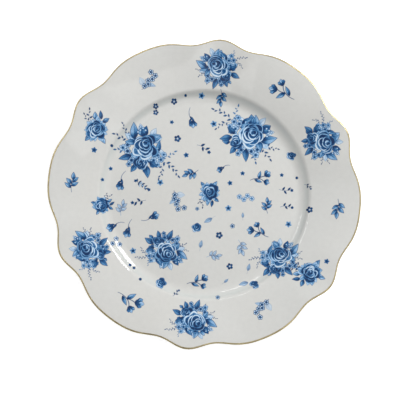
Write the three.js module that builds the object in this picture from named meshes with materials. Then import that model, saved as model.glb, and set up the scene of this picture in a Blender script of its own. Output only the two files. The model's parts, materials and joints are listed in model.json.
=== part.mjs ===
// A scalloped china dinner plate: the fired porcelain body, the three coats of glaze that leave its foot
// bare, and the gilt line round its edge. Millimetres, +Z up. The origin is on the surface that the plate
// stands on, under its centre, and +Y runs through a pointed lobe of the rim.
import * as THREE from "three";

const { cos, sin, PI } = Math;
const degrees = THREE.MathUtils.degToRad;

// Plan
const PLATE_DIAMETER = 270; // over opposite lobes, gilding included
const LOBES = 6; // pointed lobes, with a broad lobe between each two
const SCALLOP_DEPTH = 5.6; // from the circle of the lobes in to the notches
const SCALLOP_WAVES = [0.25, -0.36, -0.24, -0.04]; // shape of one scallop: 1, 2, 3 and 4 waves to a lobe
const EDGE_LIFT = 0.7; // how far the pointed lobes rise, and the broad lobes sink, at the edge

// Section, from the centre out
const FLOOR_RADIUS = 80; // flat part of the well
const WALL_RADIUS = 13; // hollow curve between the floor and the shoulder
const WALL_SLOPE = degrees(50); // its steepest, just under the shoulder
const SHOULDER_RADIUS = 7; // rounded edge between the well and the rim
const RIM_SLOPE_INSIDE = degrees(17); // the rim is slightly domed, so it flattens outwards
const RIM_SLOPE_OUTSIDE = degrees(11);
const FLOOR_THICKNESS = 4.4;
const LIP_THICKNESS = 3.2;

// Foot ring
const FOOT_HEIGHT = 3; // from the table up to the floor's underside
const FOOT_WIDTH = 4.6;
const STACKING_CLEARANCE = 0.3; // from the foot's base out to the edge of the flat floor it can be stacked on
const FOOT_CHAMFER = 0.9;
const BARE_HEIGHT = 1.4; // the glaze is wiped off the foot up to here

// Coats
const GLAZE_THICKNESS = 0.3;
const GILT_THICKNESS = 0.15;
const GILT_FROM = degrees(-3); // the gold line lies on the rounded lip, from where it slopes this much
const GILT_TO = degrees(-110); // to just past the edge

// Facets
const SECTORS = LOBES * 14;
const WALL_STEPS = 4;
const SHOULDER_STEPS = 2;
const RIM_STEPS = 3;
const GILT_STEPS = [3, 1]; // on the top coat of glaze, and on the underside's

const EDGE_RADIUS = PLATE_DIAMETER / 2 - GILT_THICKNESS;
const FLOOR_TOP = FOOT_HEIGHT + FLOOR_THICKNESS;
const FOOT_OUTSIDE = FLOOR_RADIUS - STACKING_CLEARANCE + FOOT_CHAMFER;
const FOOT_INSIDE = FOOT_OUTSIDE - FOOT_WIDTH;

// A section is a list of stations: a radius, a height and the slope of the surface there, in radians.
const station = (r, z, slope) => ({ r, z, slope });

// The stations of an arc that starts tangent to `start` and turns to another slope.
function bend(start, radius, slope, steps) {
  const side = Math.sign(slope - start.slope) * radius;
  const centre = { r: start.r - side * sin(start.slope), z: start.z + side * cos(start.slope) };
  return Array.from({ length: steps }, (_, i) => {
    const turned = THREE.MathUtils.lerp(start.slope, slope, (i + 1) / steps);
    return station(centre.r + side * sin(turned), centre.z - side * cos(turned), turned);
  });
}

// The point of a section's straight piece a-b at this radius.
function crossing(a, b, r) {
  return station(r, THREE.MathUtils.mapLinear(r, a.r, b.r, a.z, b.z), a.slope);
}

// The eating side runs from the centre of the well to the rounded lip.
const centre = station(0, FLOOR_TOP, 0);
const floorEdge = station(FLOOR_RADIUS, FLOOR_TOP, 0);
const wall = bend(floorEdge, WALL_RADIUS, WALL_SLOPE, WALL_STEPS);
const shoulder = bend(wall.at(-1), SHOULDER_RADIUS, RIM_SLOPE_INSIDE, SHOULDER_STEPS);
const rimStart = shoulder.at(-1);
const lipRadius = LIP_THICKNESS / 2;
const lipStartRadius = EDGE_RADIUS - lipRadius * (1 + sin(RIM_SLOPE_OUTSIDE));
const domeRadius = (lipStartRadius - rimStart.r) / (sin(RIM_SLOPE_INSIDE) - sin(RIM_SLOPE_OUTSIDE));
const rim = bend(rimStart, domeRadius, RIM_SLOPE_OUTSIDE, RIM_STEPS);
const [giltStart] = bend(rim.at(-1), lipRadius, GILT_FROM, 1);
const seamSlope = THREE.MathUtils.lerp(GILT_FROM, GILT_TO, GILT_STEPS[0] / (GILT_STEPS[0] + GILT_STEPS[1]));
const giltTop = bend(giltStart, lipRadius, seamSlope, GILT_STEPS[0]);
const seam = giltTop.at(-1);
const giltUnder = bend(seam, lipRadius, GILT_TO, GILT_STEPS[1]);
const giltEnd = giltUnder.at(-1);
const lipEnd = bend(giltEnd, lipRadius, RIM_SLOPE_OUTSIDE - PI, 1);

// The underside keeps its distance from the eating side, thinning out to the lip. It skips the shoulder, so
// the body is a little thicker there, and stops at the foot ring.
function under(top) {
  const share = THREE.MathUtils.clamp((top.r - FLOOR_RADIUS) / (lipStartRadius - FLOOR_RADIUS), 0, 1);
  const thickness = THREE.MathUtils.lerp(FLOOR_THICKNESS, LIP_THICKNESS, share);
  return station(top.r + thickness * sin(top.slope), top.z - thickness * cos(top.slope), top.slope);
}
const underRim = rim.slice(0, -1).reverse().map(under);
const underWall = [floorEdge, ...wall.slice(0, -1)].map(under).filter((s) => s.r > FOOT_OUTSIDE);
const insideFoot = [floorEdge, ...wall].map(under).filter((s) => s.r <= FOOT_OUTSIDE).at(-1);
const footTop = crossing(insideFoot, underWall[0], FOOT_OUTSIDE);

const footOuterSide = [station(FOOT_OUTSIDE, BARE_HEIGHT, 0)];
const footBase = [
  station(FOOT_OUTSIDE, FOOT_CHAMFER, 0),
  station(FOOT_OUTSIDE - FOOT_CHAMFER, 0, 0),
  station(FOOT_INSIDE + FOOT_CHAMFER, 0, 0),
  station(FOOT_INSIDE, FOOT_CHAMFER, 0),
];
const recess = [
  station(FOOT_INSIDE, BARE_HEIGHT, 0),
  station(FOOT_INSIDE, FOOT_HEIGHT - FOOT_CHAMFER, 0),
  station(FOOT_INSIDE - FOOT_CHAMFER, FOOT_HEIGHT, 0),
  station(0, FOOT_HEIGHT, 0),
];

// The whole outside, and the stations where one coat ends and the next begins.
const outside = [
  centre, floorEdge, ...wall, ...shoulder, ...rim, giltStart, ...giltTop, ...giltUnder, ...lipEnd,
  ...underRim, ...underWall.reverse(), footTop, ...footOuterSide, ...footBase, ...recess,
];
const seamAt = outside.indexOf(seam);
const giltFrom = outside.indexOf(giltStart);
const giltTo = outside.indexOf(giltEnd);
const wipedFrom = outside.indexOf(footOuterSide[0]);
const wipedTo = outside.indexOf(recess[0]);

// The unit normal of the outside between station i and the next, pointing out of the plate.
function normal(i) {
  const [a, b] = [outside[i], outside[i + 1]];
  const length = Math.hypot(b.r - a.r, b.z - a.z);
  return { r: (a.z - b.z) / length, z: (b.r - a.r) / length };
}

// Station i moved out of the surface by this distance, keeping it from both pieces that meet there. At the
// centre, and where the bare foot begins, only the piece on the glazed side counts.
function offset(i, distance) {
  const before = normal(i === 0 || i === wipedTo ? i : i - 1);
  const after = normal(i === outside.length - 1 || i === wipedFrom ? i - 1 : i);
  const share = distance / (1 + before.r * after.r + before.z * after.z);
  const { r, z } = outside[i];
  return station(r + share * (before.r + after.r), z + share * (before.z + after.z), 0);
}

const stations = (from, to, distance) =>
  outside.slice(from, to + 1).map((s, i) => (distance ? offset(from + i, distance) : s));
const coat = (from, to, outer, inner) => [
  ...stations(from, to, outer),
  ...stations(from, to, inner).reverse(),
];

// How deep the outline dips at this angle, as a share of the scallop's depth: 0 on the lobes, 1 in the notches.
function dip(angle) {
  const turn = LOBES * (angle - PI / 2);
  const atLobe = -SCALLOP_WAVES.reduce((sum, wave) => sum + wave, 0);
  return SCALLOP_WAVES.reduce((sum, wave, i) => sum + wave * cos((i + 1) * turn), atLobe);
}

// Where a station lies at this angle. The scallop starts at the shoulder and grows evenly to the edge.
function scalloped({ r, z }, angle) {
  const share = Math.max(0, (r - rimStart.r) / (EDGE_RADIUS - rimStart.r));
  const radius = r - share * SCALLOP_DEPTH * dip(angle);
  const lift = share ** 2 * EDGE_LIFT * cos(LOBES * (angle - PI / 2));
  return [radius * cos(angle), radius * sin(angle), z + lift];
}

// Sweeps a closed section round the axis. Pieces that share a surface have to fold its facets along the same
// diagonals, so each one is folded from its inner or lower side.
function revolve(section) {
  const position = [];
  const index = [];
  const rings = section.map((s) => {
    const first = position.length / 3;
    const count = s.r === 0 ? 1 : SECTORS;
    for (let i = 0; i < count; i++) position.push(...scalloped(s, (2 * PI * i) / SECTORS));
    return (i) => first + (i % count);
  });
  section.forEach((a, k) => {
    const next = (k + 1) % section.length;
    const b = section[next];
    const folded = a.r < b.r || (a.r === b.r && a.z < b.z);
    for (let i = 0; i < SECTORS; i++) {
      const [a0, a1, b0, b1] = [rings[k](i), rings[k](i + 1), rings[next](i), rings[next](i + 1)];
      if (a.r === 0 && b.r === 0) continue;
      if (a.r === 0) index.push(a0, b0, b1);
      else if (b.r === 0) index.push(a0, b0, a1);
      else if (folded) index.push(a0, b0, b1, a0, b1, a1);
      else index.push(a0, b0, a1, b0, b1, a1);
    }
  });
  const geometry = new THREE.BufferGeometry();
  geometry.setAttribute("position", new THREE.Float32BufferAttribute(position, 3));
  geometry.setIndex(index);
  geometry.computeVertexNormals();
  return geometry;
}

function piece(name, section, material) {
  const mesh = new THREE.Mesh(revolve(section), material);
  mesh.name = name;
  return mesh;
}

const porcelain = new THREE.MeshStandardMaterial({ color: 0xe9e6dd, roughness: 0.75, metalness: 0 });
const glaze = new THREE.MeshStandardMaterial({ color: 0xdcdcd8, roughness: 0.08, metalness: 0 });
const gilding = new THREE.MeshStandardMaterial({ color: 0xc9b272, roughness: 0.25, metalness: 1 });

const last = outside.length - 1;
const body = [
  ...stations(0, wipedFrom, -GLAZE_THICKNESS),
  ...stations(wipedFrom, wipedTo),
  ...stations(wipedTo, last, -GLAZE_THICKNESS),
];

const plate = new THREE.Group();
plate.add(
  piece("porcelain_body", body, porcelain),
  piece("top_glaze", coat(0, seamAt, 0, -GLAZE_THICKNESS), glaze),
  piece("underside_glaze", coat(seamAt, wipedFrom, 0, -GLAZE_THICKNESS), glaze),
  piece("recess_glaze", coat(wipedTo, last, 0, -GLAZE_THICKNESS), glaze),
  piece("gilt_edge", coat(giltFrom, giltTo, GILT_THICKNESS, 0), gilding),
);

export default plate;
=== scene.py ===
"""The looks of a scalloped china dinner plate: glaze, gilding, bare foot and blue floral print.

The surfaces follow the CAD model's own section and scallop, worked out again here on fine meshes. The print
is drawn in code, motif by motif, as ink on fine patches that lie on the glaze. Sizes are in millimetres and
angles in degrees until a mesh is made.
"""

import json
import math

import bpy
import numpy as np
from mathutils import Matrix, Vector


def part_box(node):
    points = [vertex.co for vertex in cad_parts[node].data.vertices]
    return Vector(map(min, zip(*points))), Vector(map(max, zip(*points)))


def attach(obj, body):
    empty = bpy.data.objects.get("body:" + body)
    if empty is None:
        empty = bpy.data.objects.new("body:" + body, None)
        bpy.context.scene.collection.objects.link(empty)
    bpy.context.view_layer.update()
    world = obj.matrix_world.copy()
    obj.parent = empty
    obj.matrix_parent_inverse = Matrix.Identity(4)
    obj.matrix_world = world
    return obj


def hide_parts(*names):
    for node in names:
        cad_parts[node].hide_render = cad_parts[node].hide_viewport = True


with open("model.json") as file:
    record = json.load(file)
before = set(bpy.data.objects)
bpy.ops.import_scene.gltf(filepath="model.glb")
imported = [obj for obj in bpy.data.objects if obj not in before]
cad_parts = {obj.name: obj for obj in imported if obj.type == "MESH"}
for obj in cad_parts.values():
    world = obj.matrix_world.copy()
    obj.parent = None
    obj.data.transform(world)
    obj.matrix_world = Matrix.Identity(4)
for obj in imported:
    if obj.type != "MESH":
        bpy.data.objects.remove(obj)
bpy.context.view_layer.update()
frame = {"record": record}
MM = 0.001

# Sizes that the CAD model has, read from its nodes and mounts
GILT_THICKNESS = 0.15
GLAZE = 0.3
EDGE_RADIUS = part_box("gilt_edge")[1].y / MM - GILT_THICKNESS
FLOOR_TOP = next(m for m in frame["record"]["mounts"] if m["name"] == "well_floor")["pos_m"][2] / MM
FOOT_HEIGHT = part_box("recess_glaze")[1].z / MM - GLAZE
BARE_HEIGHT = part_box("recess_glaze")[0].z / MM
FOOT_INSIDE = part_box("recess_glaze")[1].x / MM - GLAZE

# The rest of its section and scallop
LOBES = 6
SCALLOP_DEPTH = 5.6
SCALLOP_WAVES = (0.25, -0.36, -0.24, -0.04)
EDGE_LIFT = 0.7
FLOOR_RADIUS = 80
WALL_RADIUS = 13
WALL_SLOPE = 50
SHOULDER_RADIUS = 7
RIM_SLOPE_INSIDE = 17
RIM_SLOPE_OUTSIDE = 11
LIP_THICKNESS = 3.2
FOOT_WIDTH = 4.6
GILT_FROM = -3
GILT_TO = -110

# What the finer surfaces add
FOOT_FILLET = 1.3
FOOT_ROUNDING = 1.0
GLAZE_LINE = 0.45  # length over which the glaze runs out at the bare foot
GLAZES_MEET = 16  # the station of the lip at which the top's glaze meets the underside's
POOL_AND_WALL_SHADE_RADIUS = 88.5  # where the glaze is thickest, in the hollow of the wall; its cooler, darker tint there is also painted shade on the steep wall
THIN_RADIUS = 93  # where it is thinnest, on the shoulder
GILT_SKIN = 0.05
GILT_SINK = 0.01  # how deep its underside lies in the glaze
GILT_WANDER = 1.6  # degrees of slope by which the hand-drawn edge of the gold line strays
SECTORS = 480
GILT_SECTORS = 1440

# The print
GRAIN = 0.25  # spacing of the ink's grid
SOFT = 0.3  # width over which the edge of a stroke fades
INK_LIFT = 0.03
PRINT_TURN = 6.8  # the print's own +X lies this far round from the plate's
FAINT = 0.004  # less ink than this is none

# The view
CAMERA_TILT = 7
CAMERA_AZIMUTH = 270
CAMERA_DISTANCE = 1500
IMAGE_WIDTH = 343  # what the picture takes in at the height of the rim
AIM = (-3.8, -6.3)  # the middle of the picture, from the plate's, along the picture's axes


# --- Sections: stations of radius, height and slope in radians ---


def bend(start, radius, slope, steps):
    """An arc that starts tangent to the last of these stations and turns to another slope."""
    r, z, from_slope = start[-1]
    side = math.copysign(radius, slope - from_slope)
    turned = np.linspace(from_slope, slope, steps + 1)[1:]
    across = side * (np.sin(turned) - math.sin(from_slope))
    up = side * (math.cos(from_slope) - np.cos(turned))
    return np.column_stack([r + across, z + up, turned])


def eating_side():
    """The well's floor, its wall and shoulder, the rim, and the whole rounded lip."""
    slopes = np.radians([WALL_SLOPE, RIM_SLOPE_INSIDE, RIM_SLOPE_OUTSIDE])
    lip = LIP_THICKNESS / 2
    radii = np.linspace(0, FLOOR_RADIUS, 14)
    floor = np.column_stack([radii, np.full_like(radii, FLOOR_TOP), np.zeros_like(radii)])
    wall = bend(floor, WALL_RADIUS, slopes[0], 26)
    shoulder = bend(wall, SHOULDER_RADIUS, slopes[1], 12)
    rim_end = EDGE_RADIUS - lip * (1 + math.sin(slopes[2]))
    dome = (rim_end - shoulder[-1][0]) / (math.sin(slopes[1]) - math.sin(slopes[2]))
    rim = bend(shoulder, dome, slopes[2], 24)
    return floor, wall, shoulder, rim, bend(rim, lip, slopes[2] - math.pi, 24)


FLOOR_LINE, WALL_LINE, SHOULDER_LINE, RIM_LINE, LIP_LINE = eating_side()
RIM_START = SHOULDER_LINE[-1][0]
RIM_END = RIM_LINE[-1][0]
TOP = np.vstack([FLOOR_LINE, WALL_LINE, SHOULDER_LINE, RIM_LINE])


def below(stations):
    """The underside of the body under these stations, thinning towards the lip."""
    r, z, slope = stations.T
    floor_thickness = FLOOR_TOP - FOOT_HEIGHT
    share = np.clip((r - FLOOR_RADIUS) / (RIM_END - FLOOR_RADIUS), 0, 1)
    thickness = floor_thickness + (LIP_THICKNESS - floor_thickness) * share
    return np.column_stack([r + thickness * np.sin(slope), z - thickness * np.cos(slope), slope])


def sweep(a, b, steps):
    """A smooth curve between two stations, tangent to both."""
    t = np.linspace(0, 1, steps + 1)[1:-1, None]
    reach = np.hypot(*(b[:2] - a[:2]))
    heading = math.copysign(1, b[0] - a[0])
    leave, arrive = (np.array([math.cos(s[2]), math.sin(s[2])]) * heading * reach for s in (a, b))
    return (
        (2 * t**3 - 3 * t**2 + 1) * a[:2] + (t**3 - 2 * t**2 + t) * leave
        + (3 * t**2 - 2 * t**3) * b[:2] + (t**3 - t**2) * arrive
    )


def rounded(corners, radii):
    """A line through these corners, each rounded off by its radius."""
    steps = 7
    points = [np.array(corners[0])]
    for before, corner, after, radius in zip(corners, corners[1:], corners[2:], radii):
        before, corner, after = map(np.array, (before, corner, after))
        into = (before - corner) / np.hypot(*(before - corner))
        out = (after - corner) / np.hypot(*(after - corner))
        half = math.acos(np.clip(into @ out, -1, 1)) / 2
        reach = radius / math.tan(half)
        for t in np.linspace(0, 1, steps + 1):
            points.append((1 - t) ** 2 * (corner + into * reach) + 2 * t * (1 - t) * corner
                          + t**2 * (corner + out * reach))
    points.append(np.array(corners[-1]))
    return np.array(points)


def subdivided(line, spacing):
    """The same line with no two points further apart than the spacing."""
    pieces = [line[:1]]
    for a, b in zip(line, line[1:]):
        count = max(1, math.ceil(np.hypot(*(b - a)) / spacing))
        pieces.append(a + (b - a) * np.linspace(0, 1, count + 1)[1:, None])
    return np.vstack(pieces)


def underside():
    """The underside's lines: from the lip to the glaze line, round the bare foot, and on to the centre."""
    foot_outside = FOOT_INSIDE + FOOT_WIDTH
    rim = below(RIM_LINE[6:-1])[::-1]
    steep = WALL_LINE[WALL_LINE[:, 2] < np.radians(0.75 * WALL_SLOPE)]
    wall = below(steep)[::-1]
    wall = wall[wall[:, 0] > foot_outside + FOOT_FILLET]
    bowl = np.vstack([rim[:, :2], sweep(rim[-1], wall[0], 10), wall[:, :2]])
    top_of_foot = (foot_outside, np.interp(foot_outside, *below(np.vstack([FLOOR_LINE, steep]))[:, :2].T))
    corners = [bowl[-1], top_of_foot, (foot_outside, BARE_HEIGHT)]
    glazed_side = np.vstack([bowl[:-1], subdivided(rounded(corners, [FOOT_FILLET]), 0.15)])
    base = rounded(
        [(foot_outside, BARE_HEIGHT), (foot_outside, 0), (FOOT_INSIDE, 0), (FOOT_INSIDE, BARE_HEIGHT)],
        [FOOT_ROUNDING, FOOT_ROUNDING],
    )
    inner = [(FOOT_INSIDE, BARE_HEIGHT), (FOOT_INSIDE, FOOT_HEIGHT), (FOOT_INSIDE - 6, FOOT_HEIGHT)]
    corner = subdivided(rounded(inner, [FOOT_FILLET]), 0.2)
    middle = np.column_stack([np.linspace(FOOT_INSIDE - 6, 0, 10)[1:], np.full(9, FOOT_HEIGHT)])
    return glazed_side, base, np.vstack([corner, middle])


def normals(line):
    """Unit normals of a line of radii and heights, pointing to its left, which is out of the plate."""
    along = np.gradient(line, axis=0)
    along /= np.hypot(*along.T)[:, None]
    return np.column_stack([-along[:, 1], along[:, 0]])


def under_glaze(line):
    """The body's own surface under a coat whose outside is this line."""
    inner = line - normals(line) * GLAZE
    inner[line[:, 0] < 1e-9, 0] = 0
    return inner


def coat(line, run_out):
    """The closed section of a coat whose outside is this line, run out smoothly at the ends asked for."""
    inner = under_glaze(line)
    steps = np.hypot(*np.diff(line, axis=0).T)
    travelled = np.concatenate([[0], np.cumsum(steps)])
    proud = np.ones(len(line))
    for asked, distance in zip(run_out, (travelled, travelled[-1] - travelled)):
        if asked:
            proud = np.minimum(proud, np.sqrt(1 - (1 - np.clip(distance / GLAZE_LINE, 0, 1)) ** 2))
    outer = inner + (line - inner) * proud[:, None]
    return np.vstack([outer, thinned(inner)[::-1]])


def thinned(line):
    """Every third point of a line, and both its ends."""
    return np.vstack([line[:-1:3], line[-1:]])


# --- The scallop ---


def dip(angle):
    """How far the outline dips at this angle, from 0 on the lobes to 1 in the notches."""
    turn = LOBES * (angle - math.pi / 2)
    return -sum(SCALLOP_WAVES) + sum(w * np.cos((i + 1) * turn) for i, w in enumerate(SCALLOP_WAVES))


def lift(share, angle):
    return share**2 * EDGE_LIFT * np.cos(LOBES * (angle - math.pi / 2))


def scalloped(r, z, angle):
    """Where a point of the section lies at this angle: x, y and z."""
    share = np.maximum(0, (r - RIM_START) / (EDGE_RADIUS - RIM_START))
    radius = r - share * SCALLOP_DEPTH * dip(angle)
    return radius * np.cos(angle), radius * np.sin(angle), z + lift(share, angle)


def section_radius(x, y):
    """The radius in the section of the point of the eating side over this point of the plan."""
    radius, angle = np.hypot(x, y), np.arctan2(y, x)
    squeeze = 1 - SCALLOP_DEPTH * dip(angle) / (EDGE_RADIUS - RIM_START)
    return np.where(radius > RIM_START, RIM_START + (radius - RIM_START) / squeeze, radius)


def eating_surface(x, y):
    """Heights and unit normals of the eating side over these points of the plan."""

    def lifted(px, py):
        share = np.maximum(0, (section_radius(px, py) - RIM_START) / (EDGE_RADIUS - RIM_START))
        return lift(share, np.arctan2(py, px))

    r = section_radius(x, y)
    steepness = np.tan(np.interp(r, TOP[:, 0], TOP[:, 2]))
    step = 0.02
    gradient = []
    for dx, dy in ((step, 0), (0, step)):
        across = (section_radius(x + dx, y + dy) - section_radius(x - dx, y - dy)) / (2 * step)
        rise = (lifted(x + dx, y + dy) - lifted(x - dx, y - dy)) / (2 * step)
        gradient.append(steepness * across + rise)
    normal = np.stack([-gradient[0], -gradient[1], np.ones_like(x)], axis=-1)
    normal /= np.linalg.norm(normal, axis=-1, keepdims=True)
    return np.interp(r, FINE_TOP[:, 0], FINE_TOP[:, 1]) + lifted(x, y), normal


def fine_heights():
    """Radii and heights of the eating side, close enough to be joined by straight lines."""
    slope = TOP[:, 2]
    pieces = [TOP[:1, :2]]
    for a, b, s0, s1 in zip(TOP, TOP[1:], slope, slope[1:]):
        t = np.linspace(0, 1, 9)[1:]
        bow = (b[0] - a[0]) * (math.tan(s0) - math.tan(s1)) / 2
        height = a[1] + (b[1] - a[1]) * t + bow * t * (1 - t)
        pieces.append(np.column_stack([a[0] + (b[0] - a[0]) * t, height]))
    return np.vstack(pieces)


FINE_TOP = fine_heights()


# --- Meshes ---


def new_object(name, vertices, faces, material):
    """A smooth mesh object from vertices in millimetres."""
    mesh = bpy.data.meshes.new(name)
    mesh.from_pydata((np.asarray(vertices) * MM).tolist(), [], faces)
    mesh.shade_smooth()
    mesh.materials.append(material)
    piece = bpy.data.objects.new(name, mesh)
    bpy.context.scene.collection.objects.link(piece)
    return piece


def add_attribute(piece, name, kind, values):
    """Stores a number, or a colour, for each vertex."""
    attribute = piece.data.attributes.new(name, kind, "POINT")
    field = "value" if kind == "FLOAT" else "color"
    attribute.data.foreach_set(field, np.asarray(values, np.float32).ravel())


def glaze_pool_and_wall_shade(x, y):
    """How thick the glaze has run: 1 where it pools in the hollow of the wall, -1 where it thins on edges.
    The pooled band is also painted shade on the steep wall.
    """
    r = section_radius(x, y)
    pool_and_wall_shade, shoulder, edge = (
        np.exp(-(((r - middle) / width) ** 2))
        for middle, width in ((POOL_AND_WALL_SHADE_RADIUS, 2.5), (THIN_RADIUS, 2.2), (EDGE_RADIUS, 2.5))
    )
    return pool_and_wall_shade - (shoulder + edge)


def tube(rings):
    """Faces from each ring of vertices to the next and the last to the first. A ring may be one point."""
    faces = []
    for a, b in zip(rings, np.roll(rings, -1, axis=0)):
        corners = [a, b] + [np.roll(ring, -1) for ring in (b, a) if ring[0] != ring[1]]
        if len(corners) > 2:
            faces += np.column_stack(corners).tolist()
    return faces


def revolved(name, section, material):
    """A section of radii and heights swept round the axis along the scallop, closed on itself or the axis."""
    angles = np.arange(SECTORS) * 2 * math.pi / SECTORS
    vertices, rings, count = [], [], 0
    for r, z in section:
        ring = angles[:1] if r < 1e-9 else angles
        vertices.append(np.column_stack(scalloped(np.full_like(ring, max(r, 0)), z, ring)))
        rings.append(np.resize(np.arange(count, count + len(ring)), SECTORS))
        count += len(ring)
    vertices = np.vstack(vertices)
    piece = new_object(name, vertices, tube(rings), material)
    # This value also carries the painted shade on the steep wall of the well
    add_attribute(piece, "pool_and_wall_shade", "FLOAT", glaze_pool_and_wall_shade(vertices[:, 0], vertices[:, 1]))
    return piece


def gilding(name, material):
    """The gold line round the lip: a thin skin whose edges wander as a brush does."""
    lip = np.vstack([RIM_LINE[-1:], LIP_LINE])
    out = np.column_stack([-np.sin(lip[:, 2]), np.cos(lip[:, 2])])
    angles = np.arange(GILT_SECTORS) * 2 * math.pi / GILT_SECTORS
    random = np.random.default_rng(8)
    wander = sum(
        random.uniform(0.3, 1) / k**0.5 * np.sin(k * 7 * angles + random.uniform(0, 6))
        for k in (1, 2, 3, 5, 8, 13)
    )
    slopes_from = np.radians(GILT_FROM + GILT_WANDER * wander)
    slopes_to = np.radians(GILT_TO + GILT_WANDER * np.roll(wander, 300))
    across = np.linspace(0, 1, 13)
    skin = GILT_SKIN * np.sqrt(np.clip(1 - (2 * across - 1) ** 6, 0, 1))
    rows = []
    for share, height in list(zip(across, skin)) + [(s, -GILT_SINK) for s in across[::-1][1:-1]]:
        slopes = slopes_from + (slopes_to - slopes_from) * share
        r, z, nr, nz = (np.interp(-slopes, -lip[:, 2], column) for column in (*lip[:, :2].T, *out.T))
        rows.append(np.column_stack(scalloped(r + nr * height, z + nz * height, angles)))
    rings = np.arange(len(rows) * GILT_SECTORS).reshape(len(rows), -1)
    return new_object(name, np.vstack(rows), tube(rings), material)


# --- Ink: how strokes and leaves are laid on a grid ---


def smooth(low, high, x):
    t = np.clip((x - low) / (high - low), 0, 1)
    return t * t * (3 - 2 * t)


class Place:
    """Where on a sheet a motif is drawn: its own origin, turn, size and hand. Motifs grow along its +Y."""

    def __init__(self, sheet, x=0, y=0, turn=0, size=1, mirror=False):
        c, s = math.cos(math.radians(turn)) * size, math.sin(math.radians(turn)) * size
        flip = -1 if mirror else 1
        self.matrix = np.array([[c * flip, -s, x], [s * flip, c, y], [0, 0, 1]])
        self.sheet = sheet
        self.size = size

    def at(self, x=0, y=0, turn=0):
        """A place within this one."""
        inner = Place(self.sheet, x, y, turn)
        inner.matrix = self.matrix @ inner.matrix
        inner.size = self.size
        return inner

    def near(self, reach):
        """The part of the sheet's grid within reach, and its points as this place sees them."""
        x, y = self.matrix[:2, 2]
        reach = reach * self.size + SOFT
        columns = np.abs(self.sheet.x[0] - x) < reach
        rows = np.abs(self.sheet.y[:, 0] - y) < reach
        part = np.ix_(rows, columns)
        x, y = self.sheet.x[part], self.sheet.y[part]
        to_own = np.linalg.inv(self.matrix)
        return part, *(row[0] * x + row[1] * y + row[2] for row in to_own[:2])


class Transfer:
    """A sheet of print on a fine grid: how much ink there is, and its tone from pale, 0, to dark, 1."""

    def __init__(self, reach):
        line = np.arange(math.floor(-reach / GRAIN), math.ceil(reach / GRAIN) + 1) * GRAIN
        self.x, self.y = np.meshgrid(line, line)
        self.ink = np.zeros_like(self.x)
        self.tone = np.full_like(self.x, 0.5)

    def lay(self, part, inside, tone, density=1.0):
        """Lays ink over what is there, as far as `inside`, the distance in from its edge, is positive."""
        cover = density * smooth(-SOFT / 2, SOFT / 2, inside)
        under = self.ink[part] * (1 - cover)
        total = cover + under
        mixed = (cover * np.clip(tone, 0, 1) + under * self.tone[part]) / np.maximum(total, 1e-6)
        self.tone[part] = np.where(total > 1e-4, mixed, self.tone[part])
        self.ink[part] = total

    def inked_cells(self):
        """Which cells of the grid have ink at a corner."""
        inked = self.ink > FAINT
        return inked[:-1, :-1] | inked[1:, :-1] | inked[:-1, 1:] | inked[1:, 1:]


def curve(a, b, bow, steps=6):
    """Points of a line from a to b that stands out to its left by bow times its length."""
    t = np.linspace(0, 1, steps + 1)
    out = bow * 4 * t * (1 - t)
    along = (b[0] - a[0], b[1] - a[1])
    return list(zip(a[0] + along[0] * t - along[1] * out, a[1] + along[1] * t + along[0] * out))


def stroke(place, points, start, end, tone=0.85, density=1.0):
    """A line through these points, whose width runs from start to end."""
    part, x, y = place.near(max(math.hypot(*p) for p in points) + max(start, end))
    inside = np.full_like(x, -1)
    spans = len(points) - 1
    for i, ((ax, ay), (bx, by)) in enumerate(zip(points, points[1:])):
        dx, dy = bx - ax, by - ay
        t = np.clip(((x - ax) * dx + (y - ay) * dy) / (dx * dx + dy * dy), 0, 1)
        width = start + (end - start) * (i + t) / spans
        inside = np.maximum(inside, width / 2 - np.hypot(x - ax - t * dx, y - ay - t * dy))
    place.sheet.lay(part, inside * place.size, tone, density)


def dot(place, radius, tone=0.9, density=1.0, outline=None):
    """A round spot, with a line round it if its tone is given."""
    part, x, y = place.near(radius * 1.3)
    inside = (radius - np.hypot(x, y)) * place.size
    line = 0 if outline is None else smooth(0.5, 0.25, inside)
    place.sheet.lay(part, inside, tone * (1 - line) + (outline or 0) * line, density)


def leaf(place, length, width, dark=0.75, light=0.3, bend=0.0, density=1.0, outline=0.95, belly=0.8):
    """A pointed leaf: dark at the stalk, down one half, along the rib and round the edge."""
    part, across, along = place.near(length * 1.1)
    s = np.clip(along / length, 0, 1)
    across = across - bend * length * s * s
    half = width / 2 * np.sin(math.pi * s**belly)
    inside = np.where((along > 0) & (along < length), (half - np.abs(across)) * place.size, -1)
    shade = np.clip(smooth(0.5, 0, s) + 0.45 * (across > 0) * smooth(1, 0.3, s), 0, 1)
    veins = 0.07 * np.sin((along - 0.9 * np.abs(across)) * place.size * 4.2)
    rib = 0.22 * smooth(0.3, 0.1, np.abs(across) * place.size) * smooth(0.95, 0.7, s)
    line = smooth(0.5, 0.2, inside)
    tone = (light + (dark - light) * shade + veins + rib) * (1 - line) + outline * line
    place.sheet.lay(part, inside, tone, density)


def leaves(place, rows):
    """A leaf for each row, which holds its x, y and turn and then what leaf takes."""
    for x, y, turn, *shape in rows:
        leaf(place.at(x, y, turn), *shape)


# --- Motifs ---

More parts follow.
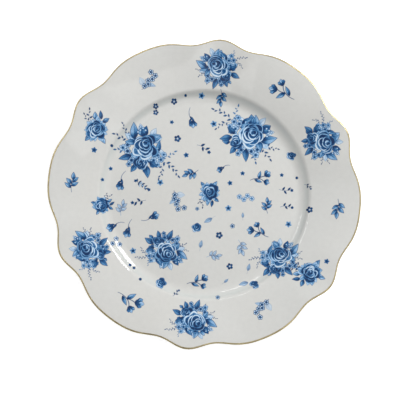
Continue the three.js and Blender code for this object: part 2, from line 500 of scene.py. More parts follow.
# Rings of petals from the outside in: share of the radius, petals, tone of their lips and of their
# valleys, and how far in from the lip the valley starts, as a share of what shows
OPEN_ROSE = (
    (1.0, 5, 0.1, 0.85, 0.55),
    (0.82, 4, 0.06, 1.0, 0.42),
    (0.64, 4, 0.08, 1.05, 0.34),
    (0.46, 3, 0.12, 1.05, 0.3),
    (0.28, 3, 0.2, 1.0, 0.3),
)
SMALL_ROSE = (
    (1.0, 5, 0.22, 1.0, 0.45),
    (0.74, 4, 0.14, 1.05, 0.34),
    (0.5, 3, 0.18, 1.05, 0.3),
    (0.27, 2, 0.35, 1.0, 0.3),
)
LONE_ROSE = (
    (1.0, 6, 0.4, 1.0, 0.3),
    (0.8, 5, 0.14, 1.0, 0.4),
    (0.6, 4, 0.06, 1.05, 0.44),
    (0.41, 3, 0.12, 1.05, 0.42),
    (0.23, 2, 0.3, 1.0, 0.35),
)
BUTTON_ROSE = ((1.0, 5, 0.28, 1.0, 0.45), (0.66, 3, 0.22, 1.1, 0.3), (0.34, 2, 0.45, 1.1, 0.3))
ROSE_DROP = 0.4  # how far the heart sits above the middle, as a share of the radius
ROSE_SHADE = 0.34  # how much darker a rose is on the side away from the light


def petal(place, radius, depth, angle, span, light, deep, start, random):
    """One broad petal of a rose, curling from a pale lip down to a dark valley nearer the middle."""
    tip = radius * random.uniform(0.92, 1.12)
    peak = random.uniform(-0.3, 0.3)
    lean = random.uniform(-0.25, 0.25)
    ripple = random.uniform(0, 2 * math.pi)
    part, x, y = place.near(tip * 1.25)
    distance = np.hypot(x, y)
    off = np.mod(np.arctan2(y, x) - angle + math.pi, 2 * math.pi) - math.pi
    across = np.clip(off / span, -1.2, 1.2)
    shape = 1 - 0.26 * np.abs(across - peak) ** 1.3 - 0.14 * across**4 + lean * across * (1 - across**2)
    rim = tip * (shape + 0.03 * np.sin(5 * across + ripple))
    inside = np.minimum(rim - distance, (span - np.abs(off)) * distance * 0.9) * place.size
    into = (rim - distance) / depth + 0.22 * np.abs(across) + 0.1 * np.sin(4 * across + 2 * ripple)
    tone = light + (deep - light) * smooth(start, start + 0.3, into)
    tone = tone + 0.06 * np.sin(off * 17 + angle) * smooth(0.1, 0.6, into)
    tone = tone + 0.35 * smooth(0.6, 1, np.abs(across))
    tone = tone + ROSE_SHADE * (x + 0.3 * y) / radius * smooth(0, 0.4, into)
    line = smooth(0.4, 0.14, inside)
    place.sheet.lay(part, inside, tone * (1 - line) + (0.62 + 0.4 * light) * line)


def rose(place, radius, random, rings=OPEN_ROSE, drop=ROSE_DROP):
    """An open rose seen from a little below, so that its near petals show the most."""
    drop = drop * radius
    for k, (share, count, lip, valley, start) in enumerate(rings):
        inner = rings[k + 1][0] if k + 1 < len(rings) else 0
        aside = random.uniform(-0.09, 0.09) * radius
        centre = place.at(aside, drop * (0.5 - share) + random.uniform(-0.05, 0.05) * radius)
        first = random.uniform(0, 2 * math.pi)
        for i in range(count):
            turn = i * 2 % count if count % 2 else i
            angle = first + 2 * math.pi * turn / count + random.uniform(-0.3, 0.3)
            light = lip + random.uniform(-0.08, 0.16)
            span = math.pi / count * random.uniform(1.2, 1.7)
            low = 0.5 - 0.5 * math.sin(angle)
            depth = radius * (share - inner) * (0.7 + 0.9 * low)
            petal(centre, radius * share, depth, angle, span, light, valley, start, random)
    dot(place.at(0, drop * 0.4), radius * 0.07, tone=1.0)


def foliage(place, radius, random, count, dark=1.0):
    """Leaf tips crowded behind a rose."""
    for i in range(count):
        side = place.at(turn=360 * (i + random.uniform(-0.3, 0.3)) / count).at(y=radius * 0.6)
        length = radius * random.uniform(0.5, 0.9)
        light = random.uniform(0.1, 0.45) * dark
        bend = random.uniform(-0.2, 0.2)
        leaf(side, length, length * 0.66, dark, light, bend, outline=dark, belly=0.9)


def five_petals(place, random):
    """Places turned evenly round this one, from a random start."""
    turn = random.uniform(0, 360)
    return [place.at(turn=turn + 360 * i / 5) for i in range(5)]


def blossom(place, radius, random, outline):
    """A small flower of pale round petals about a dark heart."""
    for bloom in five_petals(place, random):
        shade = 0.02 + random.uniform(0, 0.14)
        dot(bloom.at(y=radius * 0.6), radius * random.uniform(0.38, 0.45), shade, 1.0, outline)
        crease = [(0, radius * 0.12), (0, radius * 0.7)]
        stroke(bloom, crease, 0.34 * radius, 0.1 * radius, outline * 0.9, 0.85)
    dot(place, radius * 0.24, 0.95)


def star(place, radius, random, tone=0.3):
    """A small flower of pointed petals about a broad dark heart."""
    for point in five_petals(place, random):
        leaf(point, radius, radius * 0.72, tone + 0.4, tone, outline=tone + 0.15, belly=0.9)
    dot(place, radius * 0.4, tone=0.95)


def clover(place, radius, random):
    """A dark flower of separate round petals about a pale heart."""
    for bloom in five_petals(place, random):
        dot(bloom.at(y=radius * 0.64), radius * 0.4, random.uniform(0.8, 1))
    dot(place, radius * 0.25, tone=0.25, density=0.7)


def ringlet(place, radius, random, tone=0.95):
    """A tiny flower of pale petals with dark lines round and between them."""
    petals = five_petals(place, random)
    for bloom in petals:
        dot(bloom.at(y=radius * 0.58), radius * 0.42, tone)
    for bloom in petals:
        dot(bloom.at(y=radius * 0.6), radius * 0.24, 0.04)
    dot(place, radius * 0.2, tone)


def spray(place, length, random, pairs, size, bow=0.12, dark=0.95):
    """A thin stem with small leaves by turns on either side."""
    stem = curve((0, 0), (0, length), bow, steps=2 * pairs)
    stroke(place, stem, 0.4, 0.2, tone=dark * 0.6, density=0.7)
    for i in range(1, 2 * pairs):
        side = -1 if i % 2 else 1
        turn = side * random.uniform(38, 62)
        reach = length / pairs * 0.72 * size * random.uniform(0.85, 1.15) * (1 - 0.18 * i / pairs)
        leaf(place.at(*stem[i], turn), reach, reach * 0.46, dark, dark - 0.3, outline=dark, belly=0.85)
    reach = length / pairs * 0.62 * size
    tip = place.at(*stem[-1], random.uniform(-12, 12))
    leaf(tip, reach, reach * 0.45, dark, dark - 0.25, outline=dark)


def bud(place, length):
    """A rosebud that opens like a cup, held by slim sepals."""
    for turn, share, light in ((-30, 0.86, 0.5), (28, 0.9, 0.4), (-3, 1.0, 0.2)):
        side = place.at(turn=turn)
        leaf(side, length * share, length * 0.5, 0.95, light, outline=0.95, belly=1.7)
    for turn in (-46, -13, 15, 44):
        leaf(place.at(turn=turn), length * 0.66, length * 0.2, 1.0, 0.7)


def leafy_sprig(place, length, random, dark=0.9, light=0.3, density=1.0):
    """A few broad leaves on a stem."""
    stem = curve((0, 0), (0, length * 0.62), 0.1)
    stroke(place, stem, 0.4, 0.5, tone=dark * 0.8, density=density * 0.9)
    for i, turn in ((2, 50), (3, -48), (4, 42), (5, -38)):
        bend = 0.12 if turn < 0 else -0.12
        reach = length * random.uniform(0.38, 0.44)
        leaf(place.at(*stem[i], turn), reach, length * 0.22, dark, light, bend, density)
    leaf(place.at(*stem[-1], 4), length * 0.42, length * 0.22, dark, light, 0, density)


def stemmed_bud(place, length, random):
    """A bud at the end of a bowed stem with two leaves."""
    stem = curve((0, 0), (0, length * 0.6), random.uniform(-0.2, -0.12))
    stroke(place, stem, 0.3, 0.6, tone=0.75)
    leaf(place.at(*stem[4], 34), length * 0.32, length * 0.11, 1.0, 0.6)
    leaf(place.at(*stem[5], -30), length * 0.26, length * 0.1, 1.0, 0.6)
    bud(place.at(*stem[-1], -4), min(length * 0.44, 7))


def button_rose(place, radius, random):
    """A rose too small for more than two rings, with dark valleys."""
    rose(place, radius, random, BUTTON_ROSE)


def rosebud_sprig(place, length, random):
    """Two plump buds and two leaves on a forked stem."""
    fork = (0.03 * length, 0.42 * length)
    heads = (((-0.02, 0.7), 24, 0.35), ((0.2, 0.6), -30, 0.28))
    stroke(place, curve((0, 0), fork, 0.08), 0.4, 0.7, tone=0.85)
    for (x, y), turn, size in heads:
        stroke(place, curve(fork, (x * length, y * length), 0.1), 0.6, 0.7, tone=0.85)
    leaf(place.at(0.01 * length, 0.2 * length, -39), length * 0.4, length * 0.15, 1.0, 0.35, -0.08)
    leaf(place.at(0.04 * length, 0.4 * length, 66), length * 0.4, length * 0.17, 1.0, 0.3, 0.08)
    for (x, y), turn, size in heads:
        bud(place.at(x * length, y * length, turn), length * size * random.uniform(0.94, 1.04))


def flower_sprig(place, length, random):
    """Small flowers up a bowed stem, with pale leaves behind them."""
    stem = curve((0, 0), (0, length * 0.86), -0.14)
    low, high = place.at(0, length * 0.2, 62), place.at(length * 0.06, length * 0.34, -74)
    leaf(low, length * 0.4, length * 0.26, 0.35, 0.1, 0, 0.6, 0.45)
    leaf(high, length * 0.4, length * 0.17, 0.5, 0.2, 0, 0.8, 0.5)
    stroke(place, stem, 0.4, 0.4, tone=0.8)
    for x, y in ((0.04, 0.18), (0.13, 0.33), (0.04, 0.47), (0.17, 0.6), (0.18, 0.8), (-0.06, 0.86)):
        x, y = x + random.uniform(-0.02, 0.02), y + random.uniform(-0.02, 0.02)
        ringlet(place.at(x * length, y * length), length * 0.125, random)


def flower_row(place, length, random):
    """Four small flowers side by side, drawn lightly."""
    for i in range(4):
        y = length * (i + 0.5) / 4
        x = length * (0.1 if i % 2 else -0.1)
        ringlet(place.at(x, y), length * 0.17, random, tone=0.6)


def tiny_spray(place, length, random):
    """Three dark leaflets on a thin stem with a small star at its tip."""
    stem = curve((0, 0), (0, length * 0.7), random.uniform(-0.15, 0.15))
    stroke(place, stem, 0.3, 0.35, tone=0.7, density=0.9)
    for i, turn in ((2, 58), (3, -52), (5, 48)):
        leaf(place.at(*stem[i], turn), length * 0.3, length * 0.14, 1.0, 0.75)
    star(place.at(0, length * 0.86), length * 0.13, random, tone=0.6)


def dense_spray(place, length, random):
    """Small dark leaves crowded on a stem, with pale berries among them and a star at either end."""
    stem = curve((0, length * 0.12), (0, length * 0.8), 0.08)
    stroke(place, stem, 0.35, 0.35, tone=0.7)
    for i, turn in ((0, 120), (1, -62), (1, 66), (3, -48), (3, 52), (5, -44), (5, 60), (6, 4)):
        reach = length * random.uniform(0.17, 0.23)
        leaf(place.at(*stem[i], turn), reach, reach * 0.5, 1.0, 0.7)
    for _ in range(5):
        spot = place.at(length * random.uniform(-0.12, 0.12), length * random.uniform(0.25, 0.75))
        dot(spot, length * 0.045, 0.3)
    star(place, length * 0.11, random, tone=0.6)
    star(place.at(-0.02 * length, length), length * 0.12, random, tone=0.6)


def pale_leaf(place, length, random):
    """One faint leaf on a short stalk."""
    stroke(place, [(0, -length * 0.4), (0, length * 0.2)], 0.25, 0.3, tone=0.6, density=0.5)
    leaf(place, length, length * 0.46, 0.6, 0.3, random.uniform(-0.1, 0.1), 0.8, 0.6)


def bouquet(place, random):
    """A full rose with a smaller one below it, among leaves, small flowers and loose sprays."""
    loose = np.interp(place.size, (0.85, 1), (0.65, 1))
    for x, y, turn, length, pairs, bow, dark in (
        (-11, 5, 80, 14, 3, 0.12, 0.9),
        (-12, 7, 34, 11, 3, 0.12, 0.9),
        (14, -12, -68, 13, 3, -0.12, 0.6),
        (15, -15, -132, 19, 4, 0.1, 0.85),
        (15, -18, 170, 12, 3, 0.12, 0.85),
        (-15, -4, 98, 9, 2, 0.1, 0.7),
    ):
        spray(place.at(x, y, turn), length * loose, random, pairs, 1.15, bow, dark)
    for x, y, turn, length in (
        (8, -6, -100, 10), (7, -11, -138, 10), (-8, -8, 132, 10), (-8, 4, 62, 10),
        (8, 1, -58, 9), (-2, 9, 10, 9), (-6, -15, 165, 9), (6, 6, -30, 9),
    ):
        leaf(place.at(x, y, turn), length, length * 0.6, 0.5, 0.05, 0, 0.85, 0.55)
    foliage(place.at(-3, -17), 8.4, random, 4)
    foliage(place.at(0, -1), 12.2, random, 5)
    for x, y, radius, tone in (
        (-14.5, -1, 3.0, 0.85), (-18.6, -3.5, 3.2, 0.7), (-14.5, -6.5, 3.1, 0.95), (-11, -14.5, 3.3, 0.9),
        (-13.4, -18, 2.6, 0.8), (11.5, -10, 3.0, 0.8), (8.2, -14.5, 3.0, 0.7), (14.5, -14, 2.9, 0.75),
        (17, -9.5, 2.5, 0.6), (11.5, -18.5, 2.6, 0.6), (7, -19, 2.4, 0.8),
    ):
        blossom(place.at(x, y), radius, random, outline=tone)
    leaves(place, (
        (-8.5, 4, 2, 15, 7.2, 1.0, 0.3),
        (-1, 6, -18, 10.5, 6.6, 1.0, 0.65),
        (2, 8, 20, 7, 4.4, 1.0, 0.5),
        (5, 4, -84, 10.5, 5.4, 1.0, 0.3, -0.1),
        (11, -8, -20, 11.5, 4.6, 1.0, 0.45, -0.12),
        (-11, -10, 112, 12, 5.6, 1.0, 0.5, 0.1),
        (-7, 1, 84, 10, 5.4, 0.9, 0.35),
        (2, -19, -174, 11.5, 5.8, 1.0, 0.5),
        (4, -16, -120, 9, 4.8, 1.0, 0.6, 0.06),
        (-7, -18, 146, 8.5, 4.8, 1.0, 0.5),
    ))
    stroke(place, curve((4, -13), (12, -4), 0.1), 0.8, 0.9, tone=0.2)
    for x, y in ((-1, 13.6), (-3.4, 12), (1.2, 11.8), (-5.4, 10.4), (-3.2, 14.8)):
        dot(place.at(x, y), 1.15, tone=0.1, outline=0.85)
    rose(place.at(-3, -17.5, 172), 6.8, random, SMALL_ROSE)
    rose(place.at(0, -0.8), 11.8, random)


def lone_rose(place, random):
    """One rose seen from straight above, with leaves round it and two sprays above."""
    spray(place.at(-5.5, 7, 40), 8, random, pairs=2, size=1.05)
    spray(place.at(-5, 8, 8), 9.5, random, pairs=2, size=1.05)
    leaves(place, (
        (-0.8, 8.6, 4, 8, 4.6, 0.95, 0.25),
        (4.4, 9.4, 6, 8.5, 3.8, 1.0, 0.6),
        (5.6, 7, -58, 7.4, 4.2, 1.0, 0.4),
        (-6, -5.4, 140, 7, 4.2, 1.0, 0.4),
        (4.4, -6.4, -150, 7.4, 4.2, 1.0, 0.2),
    ))
    foliage(place, 9.0, random, 9, 0.5)
    foliage(place.at(turn=20), 8.6, random, 9, 0.7)
    rose(place, 9.4, random, LONE_ROSE, 0.12)


# --- Where the motifs go. Sizes are in the print's own axes, from the middle of the plate ------------------

# Named pieces of print: what each is drawn by, how far round its rose it takes the print at size 1, the
# first one's seed, and each rose's place, turn, size and hand
ROSES = (
    ("print_bouquet", bouquet, 32, 20, [
        (-52, 45, 0, 1.0, False),
        (43.5, 54, -75, 1.0, True),
        (-31, -51.5, -131, 0.82, False),
        (66.5, -51.5, -34, 0.81, True),
    ]),
    ("print_rim_bouquet", bouquet, 32, 24, [
        (9.5, 113, 54, 0.81, False),
        (106, 43, -123, 0.81, True),
        (-6, -112, -126, 0.81, False),
        (-102, -47, 57, 0.81, True),
    ]),
    ("print_rose", lone_rose, 17, 20, [
        (-93, 55.5, 0, 0.94, False),
        (90.5, -68.5, 98, 0.92, True),
        (4.5, 3, 176, 0.76, True),
        (-88.5, -9.5, -60, 0.64, False),
    ]),
)

# Motifs on a stem: from its foot to its head
STEMMED = (
    (rosebud_sprig, {}, [
        (78, 82, 58, 95), (-74, -85, -54, -98),
        (40, 13, 58, 17.5), (55.5, -36.5, 38.5, -28), (-15, -77, 3.5, -73),
    ]),
    (flower_sprig, {}, [(-54, 91, -43.5, 108), (55, -91, 45, -108), (-26, 4, -17.5, -14)]),
    (leafy_sprig, {}, [
        (-114, 1, -112, 18), (115, -5, 113, -22), (14.5, 92, 14.5, 77.5),
        (-5, 22, -19, 16.5), (55, -16, 55, -2),
    ]),
    (leafy_sprig, {"dark": 0.5, "light": 0.15, "density": 0.75}, [
        (-72, -18, -69.5, -4), (29.5, -39, 34, -53), (2, -54, 15.5, -52.5),
    ]),
    (stemmed_bud, {}, [
        (-12, 77, -8.5, 58), (22.5, 26, 11.5, 21), (-68, 21, -74, 3.5),
        (-54.5, -22, -39.5, -16.5), (-69, -24, -84, -30), (-62.5, -21, -67.5, -37),
    ]),
    (tiny_spray, {}, [
        (-6, 44, 6, 36.5), (-50.5, -4.5, -64, -7), (65, 5, 78, 4), (66, -10.5, 78, -11),
        (87, 9, 93, 4), (-27, -88, -21, -82), (77, -65, 81, -59),
    ]),
    (dense_spray, {}, [(-59.5, 12.5, -48, 4.5)]),
    (flower_row, {}, [(29, -3, 43, -1.5)]),
    (pale_leaf, {}, [
        (33.5, -20, 33.5, -15), (-3.5, -46, -2.5, -39), (37.5, -66, 39.5, -59.5), (17, -76, 21, -73),
        (7, -20, 0, -24.5), (38, -76, 29.5, -78),
    ]),
)

# Motifs that look the same from all round: middle and radius
ROUND = (
    (star, {"tone": 0.5}, [
        (-28, 64, 2.0), (-81, 23, 2.0), (-88, 13, 1.8), (33.5, 19, 2.2), (67.5, 17.5, 1.9),
        (-15.5, 35, 2.5), (22.5, 10.5, 2.4), (-95, 38, 2.7), (104.5, -59, 2.5),
    ]),
    (star, {}, [
        (-2, 87, 3.0), (8.5, 62.5, 3.2), (-38, 11, 3.0), (21, -11.5, 3.0),
        (73, -25.5, 3.0), (-61.5, -48.5, 3.0),
    ]),
    (clover, {}, [
        (-26, 82, 2.7), (-23, 49.5, 3.0), (13, -35, 3.0), (22, -62, 2.8),
        (91, -13.5, 2.8), (-42, 77.5, 2.4), (-42, 72.5, 2.4),
    ]),
    (ringlet, {}, [
        (-6, -12, 1.8), (24.5, -27, 2.2), (11.5, -89, 2.0),
        (-76, -38, 2.2), (-79, -42.5, 2.1), (-73, -43, 2.2),
    ]),
    (button_rose, {}, [(76, 35, 3.9), (-6.5, -27.5, 4.0), (-37.5, -75.5, 4.7), (42.5, -77, 4.1)]),
)
DOTS = [
    (-16, 87, 1.2), (-80, 42.5, 1.3), (80.5, 15, 1.2),
    (-55, -73.5, 1.3), (-64, -61, 1.3), (-60.5, -63.5, 1.2),
]


def pointing(sheet, x0, y0, x1, y1):
    """The place at the first point whose +Y runs to the second, and how far that is."""
    turn = math.degrees(math.atan2(x0 - x1, y1 - y0))
    return Place(sheet, x0, y0, turn), math.hypot(x1 - x0, y1 - y0)


def whole_print():
    """Every motif on one sheet, the small ones first, as the roses lie over their neighbours."""
    sheet = Transfer(EDGE_RADIUS)
    random = np.random.default_rng(80)
    for x, y, radius in DOTS:
        dot(Place(sheet, x, y), radius)
    for motif, options, spots in ROUND:
        for x, y, radius in spots:
            motif(Place(sheet, x, y), radius, random, **options)
    for motif, options, spots in STEMMED:
        for spot in spots:
            motif(*pointing(sheet, *spot), random, **options)
    for _, motif, _, seed, spots in ROSES:
        for i, spot in enumerate(spots):
            motif(Place(sheet, *spot), np.random.default_rng(seed + i))
    return sheet


def print_patches():
    """The sheet, and which of its cells each piece of print takes: a rose's own, or all that is left over."""
    sheet = whole_print()
    free = sheet.inked_cells()
    x, y = sheet.x[:-1, :-1], sheet.y[:-1, :-1]
    roses = [
        (f"{name}_{i + 1}", reach, spot)
        for name, _, reach, _, spots in ROSES for i, spot in enumerate(spots)
    ]
    shares = [np.hypot(x - spot[0], y - spot[1]) / (reach * spot[3]) for _, reach, spot in roses]
    nearest = np.argmin(shares, axis=0)
    within = np.min(shares, axis=0) < 1
    patches = {name: free & within & (nearest == k) for k, (name, _, _) in enumerate(roses)}
    patches["print_scattered"] = free & ~within
    return sheet, patches


# Colours of the ink by tone, as they would be seen on screen
INK_COLOURS = [
    (0.0, (0.85, 0.91, 0.96)),
    (0.2, (0.66, 0.80, 0.93)),
    (0.45, (0.36, 0.58, 0.77)),
    (0.7, (0.10, 0.35, 0.57)),
    (1.0, (0.0, 0.18, 0.36)),
]


def as_plate(x, y):
    """Points of the print's axes in the plate's."""
    c, s = math.cos(math.radians(PRINT_TURN)), math.sin(math.radians(PRINT_TURN))
    return c * x - s * y, s * x + c * y


def transferred(name, sheet, cells, material):
    """A mesh of some cells of the sheet, laid on the eating side."""
    rows, columns = np.nonzero(cells)
    count = sheet.x.shape[1]
    corner = rows * count + columns
    quads = np.column_stack([corner, corner + 1, corner + count + 1, corner + count])
    used, quads = np.unique(quads, return_inverse=True)
    quads = quads.reshape(-1, 4)
    x, y = as_plate(sheet.x.ravel()[used], sheet.y.ravel()[used])
    z, out = eating_surface(x, y)
    vertices = np.column_stack([x, y, z]) + out * INK_LIFT
    piece = new_object(name, vertices, quads.tolist(), material)
    piece.data.normals_split_custom_set_from_vertices(out.tolist())
    shade = np.column_stack([sheet.tone.ravel()[used], sheet.ink.ravel()[used], np.zeros((len(used), 2))])
    add_attribute(piece, "ink", "FLOAT_COLOR", shade)
    # This value also carries the painted shade on the steep wall of the well
    add_attribute(piece, "pool_and_wall_shade", "FLOAT", glaze_pool_and_wall_shade(x, y))
    flat = np.column_stack([x, y])
    low, size = flat.min(axis=0), np.ptp(flat, axis=0).max()
    layer = piece.data.uv_layers.new(name="OFBake")
    uv = (flat - low) / size * 0.98 + 0.01
    layer.data.foreach_set("uv", uv[quads.ravel()].ravel().astype(np.float32))
    return piece


# --- Materials ---

GLAZE_WHITE = (0.868, 0.87, 0.858)
GLAZE_WARM = (0.86, 0.858, 0.842)
# Cooler, darker glaze where it pools, which also paints the shade on the steep wall
GLAZE_POOLED_AND_SHADED = (0.80, 0.83, 0.82)
GLAZE_SPECK = (0.62, 0.58, 0.52)
GOLD_PALE = (0.72, 0.67, 0.52)
GOLD_DEEP = (0.57, 0.52, 0.40)
GOLD_WORN = (0.70, 0.68, 0.60)
BARE_WHITE = (0.90, 0.89, 0.86)
BARE_GREYED = (0.84, 0.82, 0.78)


def linear(colour):
    """A colour as it is seen on screen, as the shader wants it."""
    return tuple(c / 12.92 if c <= 0.04045 else ((c + 0.055) / 1.055) ** 2.4 for c in colour) + (1.0,)


class Nodes:
    """Builds the node tree of a material or a world in short lines."""

    def __init__(self, owner):
        owner.use_nodes = True
        self.owner = owner
        self.tree = owner.node_tree

    def feed(self, node, inputs):
        """Links or sets a node's inputs, by name or number."""
        for key, value in dict(inputs).items():
            if isinstance(value, bpy.types.NodeSocket):
                self.tree.links.new(value, node.inputs[key])
            else:
                node.inputs[key].default_value = value

    def new(self, kind, inputs=(), **settings):
        node = self.tree.nodes.new("ShaderNode" + kind)
        for key, value in settings.items():
            setattr(node, key, value)
        self.feed(node, inputs)
        return node

    def place(self):
        """The point's place on the object."""
        return self.new("TexCoord").outputs["Object"]

    def noise(self, size_mm, detail=2, rough=0.5):
        """Noise from 0 to 1 whose patches are about this big."""
        settings = {"Vector": self.place(), "Scale": 1000 / size_mm, "Detail": detail, "Roughness": rough}
        return self.new("TexNoise", settings).outputs["Fac"]

    def ramp(self, value, stops):
        """Screen colours, or numbers as grey, by a value from 0 to 1."""
        node = self.new("ValToRGB", {"Fac": value})
        elements = node.color_ramp.elements
        while len(elements) < len(stops):
            elements.new(0.5)
        for element, (at, colour) in zip(elements, stops):
            element.position = at
            element.color = linear(colour) if isinstance(colour, tuple) else (colour, colour, colour, 1)
        return node.outputs["Color"]

    def spread(self, value, low, high, start=0.0, end=1.0, curve="LINEAR"):
        """A value on its way from start to end turned into one from low to high."""
        inputs = {"Value": value, "From Min": start, "From Max": end, "To Min": low, "To Max": high}
        return self.new("MapRange", inputs, interpolation_type=curve).outputs["Result"]

    def mix(self, share, a, b, kind="MIX"):
        return self.new("Mix", {0: share, 6: a, 7: b}, data_type="RGBA", blend_type=kind).outputs[2]

    def attribute(self, name, output="Fac"):
        return self.new("Attribute", attribute_name=name).outputs[output]

    def bump(self, height, depth_mm, normal=None):
        inputs = {"Height": height, "Distance": depth_mm * MM}
        if normal is not None:
            inputs["Normal"] = normal
        return self.new("Bump", inputs).outputs["Normal"]

    def into(self, **inputs):
        """Feeds the material's shader, by socket name with _ for a space."""
        shader = self.tree.nodes["Principled BSDF"]
        self.feed(shader, {key.replace("_", " "): value for key, value in inputs.items()})


def new_material(name):
    return Nodes(bpy.data.materials.new(name))


def glaze_colour(nodes):
    """White glaze, uneven by a hair in the firing, cooler where it has pooled and warmer where it thins. The
    cooler, darker pooled tint is also painted shade on the steep wall of the well.
    """
    drift = nodes.ramp(nodes.noise(60, detail=3), [(0.3, GLAZE_WARM), (0.7, GLAZE_WHITE)])
    mottle = nodes.ramp(nodes.noise(4, detail=4, rough=0.6), [(0.3, 0.965), (0.65, 1.0)])
    plain = nodes.mix(1.0, drift, mottle, "MULTIPLY")
    # Mixes in the pooled glaze, which is also painted shade on the steep wall of the well
    pool_and_wall_shade = nodes.spread(nodes.attribute("pool_and_wall_shade"), 0, 0.4)
    pooled_and_shaded = nodes.mix(pool_and_wall_shade, plain, linear(GLAZE_POOLED_AND_SHADED))
    specks = nodes.new("TexVoronoi", {"Vector": nodes.place(), "Scale": 1000 / 9.0, "Randomness": 1.0})
    pinprick = nodes.ramp(specks.outputs["Distance"], [(0.012, 1.0), (0.03, 0.0)])
    rare = nodes.ramp(nodes.noise(30, detail=0), [(0.56, 0.0), (0.6, 0.35)])
    fleck = nodes.mix(1.0, pinprick, rare, "MULTIPLY")
    return nodes.mix(fleck, pooled_and_shaded, linear(GLAZE_SPECK))


def glaze_surface(nodes, ior=1.5):
    """The glass of the glaze: clear gloss over a surface level to a few hundredths of a millimetre."""
    swell = nodes.bump(nodes.noise(22, detail=1), 0.05)
    peel = nodes.bump(nodes.noise(1.6, detail=2), 0.0012, swell)
    gloss = nodes.spread(nodes.noise(14, detail=5, rough=0.65), 0.035, 0.09)
    nodes.into(Roughness=gloss, Normal=peel, IOR=ior)


def glaze(name):
    nodes = new_material(name)
    glaze_surface(nodes)
    nodes.into(Base_Color=glaze_colour(nodes))
    return nodes.owner


def printed_glaze(name):
    """Cobalt ink under the same glaze. It lies thicker and thinner, as a transfer print does."""
    nodes = new_material(name)
    glaze_surface(nodes, ior=1.33)
    ink = nodes.new("SeparateColor", {"Color": nodes.attribute("ink", "Color")}).outputs
    wash = nodes.spread(nodes.noise(2.2, detail=4, rough=0.6), -0.07, 0.07)
    tone = nodes.new("Math", {0: ink["Red"], 1: wash}, operation="ADD").outputs[0]
    colour = nodes.ramp(tone, INK_COLOURS)
    nodes.into(Base_Color=nodes.mix(ink["Green"], glaze_colour(nodes), colour))
    return nodes.owner


def gold(name):
    """Burnished gold, brushed on by hand and rubbed a little thin along the very edge."""
    nodes = new_material(name)
    brushed = nodes.noise(7, detail=4, rough=0.6)
    colour = nodes.ramp(brushed, [(0.3, GOLD_DEEP), (0.7, GOLD_PALE)])
    worn = nodes.ramp(nodes.noise(2.5, detail=5, rough=0.7), [(0.62, 0.0), (0.74, 0.7)])
    nodes.into(
        Base_Color=nodes.mix(worn, colour, linear(GOLD_WORN)),
        Metallic=nodes.spread(worn, 1.0, 0.6),
        Roughness=nodes.spread(nodes.noise(1.8, detail=4), 0.2, 0.42),
        Normal=nodes.bump(nodes.noise(0.8, detail=3), 0.01),
    )
    return nodes.owner


def bare_porcelain(name):
    """Unglazed porcelain, ground smooth: matt, fine-grained, and a little greyed where it has stood."""
    nodes = new_material(name)
    grain = nodes.ramp(nodes.noise(0.5, detail=5, rough=0.7), [(0.3, 0.93), (0.7, 1.0)])
    cast = nodes.ramp(nodes.noise(15, detail=3), [(0.3, BARE_GREYED), (0.7, BARE_WHITE)])
    nodes.into(
        Base_Color=nodes.mix(1.0, cast, grain, "MULTIPLY"),
        Roughness=nodes.spread(nodes.noise(1.2, detail=3), 0.62, 0.8),
        Normal=nodes.bump(nodes.noise(0.35, detail=4, rough=0.7), 0.03),
    )
    return nodes.owner


# --- The plate ---


def belongs(piece, slot, *nodes):
    """Says what the piece rides on and stands for. The slot is not used."""
    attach(piece, "root")
    if nodes:
        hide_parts(*nodes)


def foot_inside_glaze(base):
    """The bare foot, narrower by the glaze on either side of it."""
    middle = (base[:, 0].min() + base[:, 0].max()) / 2
    width = np.ptp(base[:, 0])
    narrower = base.copy()
    narrower[:, 0] = middle + (base[:, 0] - middle) * (width - 2 * GLAZE) / width
    return narrower


def make_plate():
    """The body and its three coats of glaze, and the gold line."""
    glazed_side, base, recess = underside()
    eating = np.vstack([TOP, LIP_LINE])[:, :2]
    meeting = len(TOP) + GLAZES_MEET
    top, side = eating[:meeting], np.vstack([eating[meeting - 1:], glazed_side])
    white = glaze("white_glaze")
    for name, line, run_out, node in (
        ("glazed_top", top, (False, False), "top_glaze"),
        ("glazed_underside", side, (False, True), "underside_glaze"),
        ("glazed_recess", recess, (True, False), "recess_glaze"),
    ):
        belongs(revolved(name, coat(line, run_out), white), "glaze", node)

    top, side, recess = (thinned(under_glaze(line)) for line in (top, side, recess))
    body_line = np.vstack([top, side[1:], foot_inside_glaze(base), recess])
    body = revolved("porcelain", body_line, bare_porcelain("bare_porcelain"))
    belongs(body, "porcelain", "porcelain_body")
    belongs(gilding("gold_line", gold("burnished_gold")), "gilding", "gilt_edge")


def make_print():
    material = printed_glaze("blue_print")
    sheet, patches = print_patches()
    for name, cells in patches.items():
        belongs(transferred(name, sheet, cells, material), "glaze")


# --- Studio ---

LAMP_WATTS = math.pi  # for each square metre of a lamp of brightness 1
WORLD_LIGHT = 0.38
PHOTOGRAPHER = (255, 20)  # azimuth and elevation of the dimmest part of the room
PHOTOGRAPHER_DIMS = 0.25
FLOOR_GLOW = 0.62
KEY_LIGHT = 16.0
FILL_LIGHT = 1.1
STRIP_LIGHT = 10.5


def direction(azimuth, elevation):
    """A unit vector at this azimuth from the print's +X, and this height over the table."""
    a, e = math.radians(azimuth + PRINT_TURN), math.radians(elevation)
    return Vector((math.cos(a) * math.cos(e), math.sin(a) * math.cos(e), math.sin(e)))


def softbox(name, azimuth, elevation, distance, width, height, brightness):
    """A flat lamp that faces the plate. Its brightness is that of its surface, where 1 is white."""
    data = bpy.data.lights.new(name, "AREA")
    data.shape = "RECTANGLE"
    data.size, data.size_y = width, height
    data.energy = brightness * width * height * LAMP_WATTS
    lamp = bpy.data.objects.new(name, data)
    out = direction(azimuth, elevation)
    lamp.matrix_world = Matrix.LocRotScale(out * distance, out.to_track_quat("Z", "Y"), None)
    bpy.context.scene.collection.objects.link(lamp)


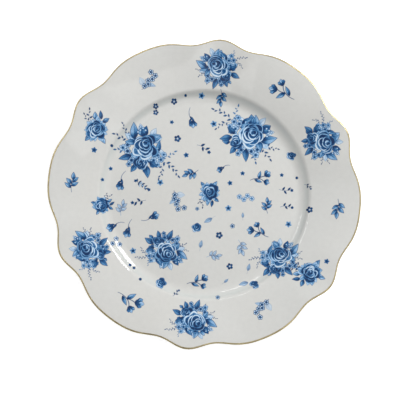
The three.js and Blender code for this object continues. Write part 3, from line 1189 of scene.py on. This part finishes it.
def seen_ray(nodes):
    """1 for rays from the camera and for reflections, which see plain white, and 0 for light itself."""
    rays = nodes.new("LightPath").outputs
    seen = rays["Is Camera Ray"]
    for name in ("Is Glossy Ray", "Is Transmission Ray"):
        seen = nodes.new("Math", {0: seen, 1: rays[name]}, operation="MAXIMUM").outputs[0]
    return seen


def make_world():
    """A white room that lights evenly. Reflections find it dimmer low down on the photographer's side."""
    nodes = Nodes(bpy.data.worlds.new("room"))
    vectors = {0: nodes.new("TexCoord").outputs["Generated"], 1: direction(*PHOTOGRAPHER)}
    towards = nodes.new("VectorMath", vectors, operation="DOT_PRODUCT").outputs["Value"]
    dim = nodes.spread(towards, 1.0, PHOTOGRAPHER_DIMS, start=0.4, end=0.95)
    reflected = nodes.new("LightPath").outputs["Is Glossy Ray"]
    strength = nodes.spread(seen_ray(nodes), WORLD_LIGHT, nodes.spread(reflected, 1.0, dim))
    nodes.feed(nodes.tree.nodes["Background"], {"Color": (1, 1, 1, 1), "Strength": strength})
    bpy.context.scene.world = nodes.owner


def make_floor():
    """A plain white table top that keeps the plate's shadow and fades into the white room."""
    half = 6000
    nodes = new_material("white_table")
    corners = [(-half, -half, 0), (half, -half, 0), (half, half, 0), (-half, half, 0)]
    floor = new_object("floor", corners, [(0, 1, 2, 3)], nodes.owner)
    tint = nodes.ramp(nodes.noise(90, detail=2), [(0.3, 0.9), (0.7, 0.92)])
    away = nodes.new("VectorMath", {"Vector": nodes.place()}, operation="LENGTH").outputs["Value"]
    glow = nodes.spread(away, FLOOR_GLOW, 1.0, start=0.2, end=0.9, curve="SMOOTHSTEP")
    seen = nodes.new("Math", {0: seen_ray(nodes), 1: glow}, operation="MULTIPLY").outputs[0]
    nodes.into(Base_Color=tint, Roughness=0.9, Specular_IOR_Level=0.0, Emission_Color=(1, 1, 1, 1))
    nodes.into(Emission_Strength=seen)


def make_lights():
    """A tall softbox for the highlight on the wall, a fill from the other side, and two slim strips."""
    make_world()
    softbox("key", 43, 34, 1.15, 0.27, 0.56, KEY_LIGHT)
    softbox("fill", -60, 62, 1.3, 0.8, 0.8, FILL_LIGHT)
    softbox("strip_left", 106, 43, 1.2, 0.36, 0.09, STRIP_LIGHT)
    softbox("strip_far", 148, 43, 1.2, 0.36, 0.09, STRIP_LIGHT)


def make_camera():
    """Nearly straight above, leaning a little to the near side, and turned as the print lies."""
    back = direction(CAMERA_AZIMUTH - PRINT_TURN, 90 - CAMERA_TILT)
    right = direction(0, 0)
    right = (right - back * right.dot(back)).normalized()
    up = back.cross(right)
    rim_height = RIM_LINE[-1][1] * MM
    aim = Vector((0, 0, rim_height)) + (right * AIM[0] + up * AIM[1]) * MM
    data = bpy.data.cameras.new("camera")
    data.lens = data.sensor_width * CAMERA_DISTANCE / IMAGE_WIDTH
    camera = bpy.data.objects.new("camera", data)
    turn = Matrix((right, up, back)).transposed()
    camera.matrix_world = Matrix.LocRotScale(aim + back * CAMERA_DISTANCE * MM, turn.to_quaternion(), None)
    bpy.context.scene.collection.objects.link(camera)
    bpy.context.scene.camera = camera


bpy.context.scene.view_settings.view_transform = "Standard"
make_camera()
make_lights()
make_floor()
make_plate()
make_print()
bpy.context.view_layer.update()
